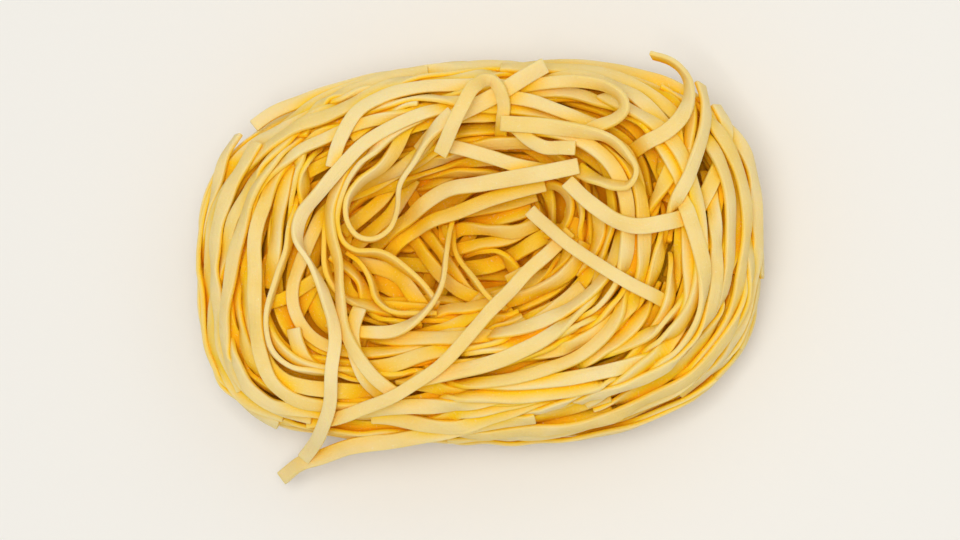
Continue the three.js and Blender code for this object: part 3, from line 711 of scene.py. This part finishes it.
# %% [markdown]
# The ribbons start as threads that swell, so that each finds its own way past its neighbours, and are
# then widened little by little. Meanwhile all sink a little at each pass, as under their own weight, and
# are drawn back towards where they were laid. The loose ribbons are held more firmly in plan than the
# wound ones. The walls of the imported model's box keep the ribbons in it to a tenth of a millimetre, and
# its floor is what the nest stands on. While one only wants to see how the nest lies, a third of the
# passes will do.

# %% Settle the nest
HALF_WIDTH = (STRAND_WIDTH - STRAND_THICKNESS) / 2
CLEARANCE = 0.03
LOOK_AGAIN = 6  # passes between two searches for pairs
box_low = np.array(CAD_BOX[0]) / MM - STAND + STRAND_THICKNESS / 2 + CLEARANCE
box_high = np.array(CAD_BOX[1]) / MM - STAND - STRAND_THICKNESS / 2 - CLEARANCE
held_in_plan = np.where(owner >= len(outer + inner + heart), 0.12, 0.012)[:, None]
HELD_UP = 0.005
HELD_TURNED = 0.02
RISE = 1.6  # so the width and the gap are full before the last pass
PULLS, PULL = 2, 0.4  # how often and how far a link is brought back to its length
SLACK = 0.7  # mm that two rods may move before pairs are looked for again


def smoothed(field, amount):
    return field + amount * (field[before] + field[after] - 2 * field)


def settle(place, across, passes, widths, gaps, weight, stiffness):
    """Settles the ribbons while their half width and the gap between rods grow as given."""
    for k in range(passes):
        width = widths[0] + (widths[1] - widths[0]) * min(1, RISE * k / passes)
        gap = gaps[0] + (gaps[1] - gaps[0]) * min(1, RISE * k / passes)
        side = width * across
        rows = np.stack([place - side, place, place + side]) if width else place[None].copy()
        if k % LOOK_AGAIN == 0:
            pairs = touching_rods(rows, STEP + gap + SLACK)
        missing = push_apart(rows, pairs, gap)
        rows = np.clip(rows, box_low, box_high)
        moved = rows.mean(axis=0) - home
        moved[:, 2] -= weight
        moved[:, :2] *= 1 - held_in_plan
        moved[:, 2] *= 1 - HELD_UP
        place = home + smoothed(moved, stiffness)
        for _ in range(PULLS):
            link = place[links + 1] - place[links]
            run = np.linalg.norm(link, axis=1)
            pull = link * (PULL * (run - link_length) / run)[:, None]
            place[links] += pull
            place[links + 1] -= pull
        if width:
            turn = (1 - HELD_TURNED) * (unit(rows[2] - rows[0]) - home_across)
            across = home_across + smoothed(turn, stiffness)
        across = squared(across, unit(place[after] - place[before]))
    print(f"{passes} passes: rods {missing.mean():.3f} mm too near on average, {missing.max():.2f} at most")
    return place, across


GAP = STRAND_THICKNESS + 0.02
RUNS = 3
STAGES = [  # passes, half widths, gaps, how far all sink at each pass, stiffness
    (20, (0, 0), (0.5, 1.5), 0, 0.2),
    (40, (0.2, HALF_WIDTH), (GAP, GAP), 0.02, 0.2),
    (10, (HALF_WIDTH, HALF_WIDTH), (GAP, GAP), 0, 0.08),
]
place, across = home, home_across
for passes, *stage in STAGES:
    place, across = settle(place, across, passes * RUNS, *stage)

# %% [markdown]
# ## From stations to ribbons
#
# A ribbon is modelled as it is made: a flat sheet of dough with a cut edge. Its mesh starts as one row of
# faces, and the modifiers do the rest. Solidify gives the sheet its 1 mm, and Bevel takes the sharpness
# off the edges and the cut ends, as drying dough pulls its corners in. The stations are doubled first, by
# the four-point rule that goes through the old ones and keeps the curve smooth.
#
# Each ribbon also carries its own UV map, which runs along and across it in centimetres, and a tone of
# its own, because no two ribbons of a batch dry to quite the same colour.

# %% Double the stations
def doubled(values):
    near = values[links] + values[links + 1]
    halfway = (9 * near - values[before[links]] - values[after[links + 1]]) / 16
    joined = np.zeros((2 * len(values), values.shape[1]))
    joined[0::2] = values
    joined[2 * links + 1] = halfway
    return joined


kept = np.ones(2 * len(home), bool)
kept[2 * np.flatnonzero(last) + 1] = False
fine_place = doubled(place)[kept] + STAND
fine_across = unit(doubled(across)[kept])
fine_owner = np.repeat(owner, 2)[kept]
fine_run = np.concatenate([[0], np.cumsum(np.linalg.norm(np.diff(fine_place, axis=0), axis=1))])
starts = np.flatnonzero(np.diff(fine_owner, prepend=-1))
fine_run -= np.repeat(fine_run[starts], np.diff([*starts, len(fine_owner)]))  # each from its own start

tone_of = rng.random(len(ribbons))
narrowest = np.where(np.arange(len(ribbons)) < len(outer + inner + heart), 0.3, 0.18)
cut_of = narrowest * rng.random(len(ribbons))  # how much narrower than the others it was cut
uneven = 0.04 * np.sin(fine_run / 9 + 20 * tone_of[fine_owner])
fine_half = STRAND_WIDTH / 2 * (1 - cut_of[fine_owner] + uneven)[:, None]
print(len(fine_place), "stations, ribbons from", 2 * fine_half.min().round(2), "mm wide")

# %% [markdown]
# Light that reaches the depths of the nest has bounced off many ribbons on its way, and each bounce takes
# out more of the blue. So pasta looks pale where it is open and deep golden down in the gaps. That shade is
# painted into the colour: rays cast from the surface tell in how many directions another ribbon is near,
# and the material paints gold and then amber shade by that share.
# They start from both faces of the ribbon, as one may lie open and the other against a neighbour, and
# they lean upwards, where most of the light comes from. The light also spreads inside the dough, so the
# share is evened out along each ribbon.

# %% How sheltered a place is
from mathutils.bvhtree import BVHTree

RAYS = 26
GLANCING = 0.1  # a ray this near to the surface isn't cast
GOLDEN_ANGLE = 2.39996  # spreads the rays evenly over a sphere
REACH = 25
turn = np.arange(RAYS) * GOLDEN_ANGLE
rise = 1 - 2 * (np.arange(RAYS) + 0.5) / RAYS
aside = np.sqrt(1 - rise**2)
round_about = np.column_stack([np.cos(turn) * aside, np.sin(turn) * aside, rise])

fine_links = np.flatnonzero(fine_owner[:-1] == fine_owner[1:])
quads = np.column_stack([2 * fine_links, 2 * fine_links + 1, 2 * fine_links + 3, 2 * fine_links + 2])
fine_edges = np.stack([fine_place - fine_half * fine_across, fine_place + fine_half * fine_across], axis=1)
everything = BVHTree.FromPolygons(fine_edges.reshape(-1, 3).tolist(), quads.tolist())


def shelter_of(points, outward):
    """The share of the directions away from the dough in which another ribbon lies within reach."""
    hidden = np.zeros(len(points))
    total = np.zeros(len(points))
    for ray in round_about:
        facing = outward @ ray
        these = np.flatnonzero(facing > GLANCING)
        hits = [everything.ray_cast(start, ray, REACH)[0] is not None for start in points[these].tolist()]
        hidden[these] += facing[these] * hits
        total[these] += facing[these]
    return hidden / total


EVENED = 14  # times, which spreads a value over about 2 mm each way


def evened_out(values, joined):
    """Values at both faces, the stations and both edges, made smoother along the joined stations."""
    for _ in range(EVENED):
        step = np.diff(values, axis=1) * joined[:, None] / 4
        values[:, :-1] += step
        values[:, 1:] -= step
    return values


TO_EDGE, TO_LIGHT = 0.4, 0.35  # how much the rays lean outwards at the edges, and upwards


def painted_shade_on(mesh, chosen):
    """How sheltered each vertex is, which sets how much shade is painted on it, of one face of the chosen
    stations and then of the other.
    """
    vertices = np.array([vertex.co for vertex in mesh.vertices]).reshape(2, -1, 3) / MM
    flat = fine_edges[chosen].reshape(-1, 3)
    outward = unit((vertices - flat).reshape(-1, 3)).reshape(vertices.shape)
    outward = outward + TO_EDGE * unit(flat - np.repeat(fine_place[chosen], 2, axis=0)) + (0, 0, TO_LIGHT)
    painted_shade = shelter_of(vertices.reshape(-1, 3), unit(outward.reshape(-1, 3)))
    whose = fine_owner[chosen]
    return evened_out(painted_shade.reshape(2, -1, 2), whose[:-1] == whose[1:]).ravel()


# %% Sheets of dough
def set_values(mesh, name, values):
    """Gives each vertex a value that the material reads."""
    mesh.attributes.new(name, "FLOAT", "POINT").data.foreach_set("value", values.astype(np.float32))


def sheet_of_dough(name, chosen):
    """A mesh of flat ribbons on the chosen stations."""
    whose = fine_owner[chosen]
    at = np.flatnonzero(whose[:-1] == whose[1:])
    faces = np.column_stack([2 * at, 2 * at + 1, 2 * at + 3, 2 * at + 2])
    mesh = bpy.data.meshes.new(name)
    mesh.from_pydata((fine_edges[chosen].reshape(-1, 3) * MM).tolist(), [], faces.tolist())
    uv = np.stack([np.repeat(fine_run[chosen], 2), np.tile([0, STRAND_WIDTH], len(chosen))], axis=1) / 10
    mesh.uv_layers.new(name="along_ribbon").data.foreach_set("uv", uv[faces.ravel()].ravel())
    set_values(mesh, "tone", np.repeat(tone_of[whose], 2))
    return mesh


# %% Ribbons with a body
EDGE_ROUNDING = 0.24
SHARP = math.radians(50)


def new_piece(name, mesh):
    """An object of this mesh that the operators then act on."""
    piece = bpy.data.objects.new(name, mesh)
    bpy.context.scene.collection.objects.link(piece)
    bpy.ops.object.select_all(action="DESELECT")
    bpy.context.view_layer.objects.active = piece
    piece.select_set(True)
    return piece


def ribbons_from(first, count, name, round_steps):
    """One piece of so many ribbons from the first on."""
    chosen = np.flatnonzero((fine_owner >= first) & (fine_owner < first + count))
    mesh = sheet_of_dough(name, chosen)
    piece = new_piece(name, mesh)
    body = piece.modifiers.new("body", "SOLIDIFY")
    body.thickness = STRAND_THICKNESS * MM
    body.offset = 0
    bpy.ops.object.modifier_apply(modifier="body")
    # the share of painted shade: gold and amber are painted into the colour where other ribbons hide the
    # light
    painted_shade = painted_shade_on(mesh, chosen)
    set_values(mesh, "painted_shade", painted_shade)
    print(name, "is sheltered by", np.quantile(painted_shade, [0.1, 0.3, 0.5, 0.7, 0.9]).round(2).tolist())
    edge = piece.modifiers.new("soft edges", "BEVEL")
    edge.width = EDGE_ROUNDING * MM
    edge.segments = round_steps
    edge.limit_method = "ANGLE"
    edge.angle_limit = SHARP
    bpy.ops.object.modifier_apply(modifier="soft edges")
    bpy.ops.object.shade_smooth()
    print(name, "has", sum(len(face.vertices) - 2 for face in mesh.polygons), "triangles")
    return piece


IN_HOLLOW = len(outer + inner)
ON_TOP = len(outer + inner + heart)
pieces = [
    ribbons_from(0, OUTER, "wound_ribbons", 2),
    ribbons_from(OUTER, len(outer) - OUTER, "crossing_ribbons", 2),
    ribbons_from(len(outer), len(inner), "inner_ribbons", 1),
    ribbons_from(IN_HOLLOW, len(heart), "hollow_ribbons", 1),
    ribbons_from(ON_TOP, len(top), "loose_ribbons", 2),
]

# %% [markdown]
# Deep inside, the ribbons are one lump, as only a few gaps at the sides let one see so far in. It is a
# profile that is spun round the axis and then stretched onto the oval, so that it follows the ring and
# the floor of the hollow. It lies only in shade, so its whole surface is painted in the deepest shade.

# %% The lump inside
LUMP = [  # how far out, as a share, and how high in mm
    (0, 2), (0.74, 2), (0.82, 10), (0.82, 18), (0.75, 24),
    (0.64, 27), (0.5, 25), (0.37, 20), (0.2, 16), (0, 15),
]
SPUN = 64  # steps round
MERGED = 0.001


def lump_inside():
    mesh = bpy.data.meshes.new("lump_inside")
    profile = [(share, 0, height) for share, height in LUMP]
    mesh.from_pydata(profile, [(k, k + 1) for k in range(len(LUMP) - 1)], [])
    piece = new_piece("lump_inside", mesh)
    bpy.ops.object.mode_set(mode="EDIT")
    bpy.ops.mesh.select_all(action="SELECT")
    bpy.ops.mesh.spin(steps=SPUN, angle=2 * math.pi, center=(0, 0, 0), axis=(0, 0, 1))
    bpy.ops.mesh.select_all(action="SELECT")
    bpy.ops.mesh.remove_doubles(threshold=MERGED)
    bpy.ops.mesh.normals_make_consistent(inside=False)
    bpy.ops.object.mode_set(mode="OBJECT")
    spun = np.array([vertex.co for vertex in mesh.vertices])
    flat = on_plan(np.arctan2(spun[:, 1], spun[:, 0]), np.hypot(spun[:, 0], spun[:, 1]))
    mesh.vertices.foreach_set("co", ((np.column_stack([flat, spun[:, 2]]) + STAND) * MM).ravel())
    # the whole lump is painted in the deepest shade, amber, as it lies only in shade
    set_values(mesh, "painted_shade", np.ones(len(mesh.vertices)))
    bpy.ops.object.shade_smooth()
    print("the lump inside has", len(mesh.vertices), "vertices")
    return piece


pieces.append(lump_inside())

# %% [markdown]
# ## Egg pasta
#
# The dough is durum semolina and egg, pushed through a bronze die and dried slowly. That gives a matt,
# faintly rough surface of pale egg yellow, with fine lines along the ribbon from the die, grains of
# semolina that show as lighter specks, and edges that let a little light through. So the material is a
# rough Principled shader with a little subsurface scattering. Its colour is built up in layers: patches
# in the dough, flour that some ribbons keep more of, painted shade in gold and then amber where the ribbon
# is sheltered, and the grains. The lines that the die leaves are too fine to be seen from this far, and how
# far apart they really are isn't known, so they are drawn just under half a millimetre apart, which shows.

# %% Helpers for materials
def linear(hex_colour):
    """An sRGB hex value as a linear colour."""
    parts = [int(hex_colour[k:k + 2], 16) / 255 for k in (1, 3, 5)]
    return [p / 12.92 if p <= 0.04045 else ((p + 0.055) / 1.055) ** 2.4 for p in parts] + [1.0]


def add_node(tree, kind, links_in=None, **settings):
    """A node of this kind, with its settings, and its inputs set to a value or linked to an output."""
    node = tree.nodes.new(kind)
    for name, value in settings.items():
        setattr(node, name, value)
    for name, value in (links_in or {}).items():
        if isinstance(value, bpy.types.NodeSocket):
            tree.links.new(value, node.inputs[name])
        else:
            node.inputs[name].default_value = value
    return node


# %% Egg pasta
MIX = {"factor": 0, "a": 6, "b": 7}  # the sockets of a Mix node that mixes colours
MIXED = 2
PATCH = 9 * MM
GRAIN = 0.5 * MM
LINES = (0.6, 22, 1)  # the waves of the lines in a centimetre: long along the ribbon, close across it
# gold and amber are painted shade, mixed in where the ribbon is sheltered from the light
LAYERS = {
    "patches": "#F4D070", "flour": "#F8E6B4", "painted_gold_shade": "#FFCF20", "painted_amber_shade": "#FFAA00", "grains": "#FBF0CC",
}


def egg_pasta():
    material = bpy.data.materials.new("bronze drawn egg pasta")
    material.use_nodes = True
    tree = material.node_tree
    tree.nodes.clear()
    place_on = add_node(tree, "ShaderNodeTexCoord").outputs["Object"]
    along = add_node(tree, "ShaderNodeUVMap", uv_map="along_ribbon").outputs["UV"]
    tone = add_node(tree, "ShaderNodeAttribute", attribute_name="tone").outputs["Fac"]
    painted_shade = add_node(tree, "ShaderNodeAttribute", attribute_name="painted_shade").outputs["Fac"]
    patchy = add_node(tree, "ShaderNodeTexNoise", {"Vector": place_on, "Scale": 1 / PATCH, "Detail": 3})
    grainy = {"Vector": place_on, "Scale": 1 / GRAIN, "Detail": 3, "Roughness": 0.7}
    grit = add_node(tree, "ShaderNodeTexNoise", grainy)
    stretched = add_node(tree, "ShaderNodeMapping", {"Vector": along, "Scale": LINES}).outputs["Vector"]
    drawn = add_node(tree, "ShaderNodeTexNoise", {"Vector": stretched, "Scale": 1, "Detail": 3})

    shares = {
        "patches": {"Value": patchy.outputs["Fac"], "From Min": 0.3, "From Max": 0.7},
        "flour": {"Value": tone, "To Max": 0.5},
        # painted shade: gold, then amber, the more the ribbon is sheltered
        "painted_gold_shade": {"Value": painted_shade, "From Min": 0.15, "From Max": 0.6},
        "painted_amber_shade": {"Value": painted_shade, "From Min": 0.6, "From Max": 0.95},
        "grains": {"Value": grit.outputs["Fac"], "From Min": 0.6, "From Max": 0.75, "To Max": 0.45},
    }
    colour = linear("#F6DB94")
    for layer, hex_colour in LAYERS.items():
        share = add_node(tree, "ShaderNodeMapRange", shares[layer]).outputs["Result"]
        mixing = {MIX["factor"]: share, MIX["a"]: colour, MIX["b"]: linear(hex_colour)}
        colour = add_node(tree, "ShaderNodeMix", mixing, data_type="RGBA").outputs[MIXED]

    heights = {0: grit.outputs["Fac"], 1: drawn.outputs["Fac"]}
    height = add_node(tree, "ShaderNodeMath", heights, operation="ADD").outputs["Value"]
    bump = add_node(tree, "ShaderNodeBump", {"Height": height, "Strength": 0.7, "Distance": 0.2 * MM})
    sockets = {
        "Base Color": colour,
        "Roughness": 0.7,
        "IOR": 1.45,
        "Specular IOR Level": 0.12,
        "Subsurface Weight": 0.3,
        "Subsurface Radius": (1.2 * MM, 0.9 * MM, 0.3 * MM),
        "Subsurface Scale": 1.0,
        "Normal": bump.outputs["Normal"],
    }
    shader = add_node(tree, "ShaderNodeBsdfPrincipled", sockets)
    add_node(tree, "ShaderNodeOutputMaterial", {"Surface": shader.outputs["BSDF"]})
    return material


pasta = egg_pasta()
for piece in pieces:
    piece.data.materials.append(pasta)

# %% [markdown]
# ## Floor, light and camera
#
# The nest lies on a plain pale floor. A large soft lamp hangs above it, so that light reaches down into
# the gaps, and a weaker one stands at the back right. The rest comes evenly from all round. The camera
# looks down on the nest from slightly to the right and in front, with a long lens.

# %% Floor
bpy.ops.object.select_all(action="DESELECT")
bpy.ops.mesh.primitive_plane_add(size=4)
floor = bpy.context.object
floor.name = "floor"
paper = bpy.data.materials.new("matt pale paper")
paper.use_nodes = True
paper.node_tree.nodes["Principled BSDF"].inputs["Base Color"].default_value = linear("#F2F0EC")
paper.node_tree.nodes["Principled BSDF"].inputs["Roughness"].default_value = 0.8
floor.data.materials.append(paper)

# %% Lamps
def soft_lamp(name, where, size, power, colour):
    lamp = bpy.data.lights.new(name, "AREA")
    lamp.size = size
    lamp.energy = power
    lamp.color = linear(colour)[:3]
    holder = bpy.data.objects.new(name, lamp)
    bpy.context.scene.collection.objects.link(holder)
    holder.location = where
    holder.rotation_euler = (-holder.location).to_track_quat("-Z", "Y").to_euler()


soft_lamp("key", (0.02, -0.02, 0.9), 0.4, 4.0, "#FFFDF6")
soft_lamp("fill", (0.5, 0.5, 0.7), 0.6, 0.4, "#FFF8EC")
world = bpy.data.worlds.new("studio")
world.use_nodes = True
world.node_tree.nodes["Background"].inputs["Color"].default_value = linear("#FFFFFF")
world.node_tree.nodes["Background"].inputs["Strength"].default_value = 0.52
bpy.context.scene.world = world
bpy.context.scene.view_settings.view_transform = "Standard"

# %% Camera
from mathutils import Matrix, Vector

EYE = Vector((66.2, -36.4, 594)) * MM
AIM = Vector((0, 0, 18)) * MM
camera = bpy.data.objects.new("camera", bpy.data.cameras.new("camera"))
bpy.context.scene.collection.objects.link(camera)
camera.location = EYE
forward = (AIM - EYE).normalized()
right = forward.cross(Vector((0, 1, 0))).normalized()
camera.rotation_euler = Matrix((right, right.cross(forward), -forward)).transposed().to_euler()
camera.data.lens = 107
bpy.context.scene.camera = camera

# %% [markdown]
# ## Hand over
#
# Every piece rides on the one body and stands for the solid nest.

# %% Hand over
for piece in pieces:
    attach(piece, "root")
    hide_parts(NODE)
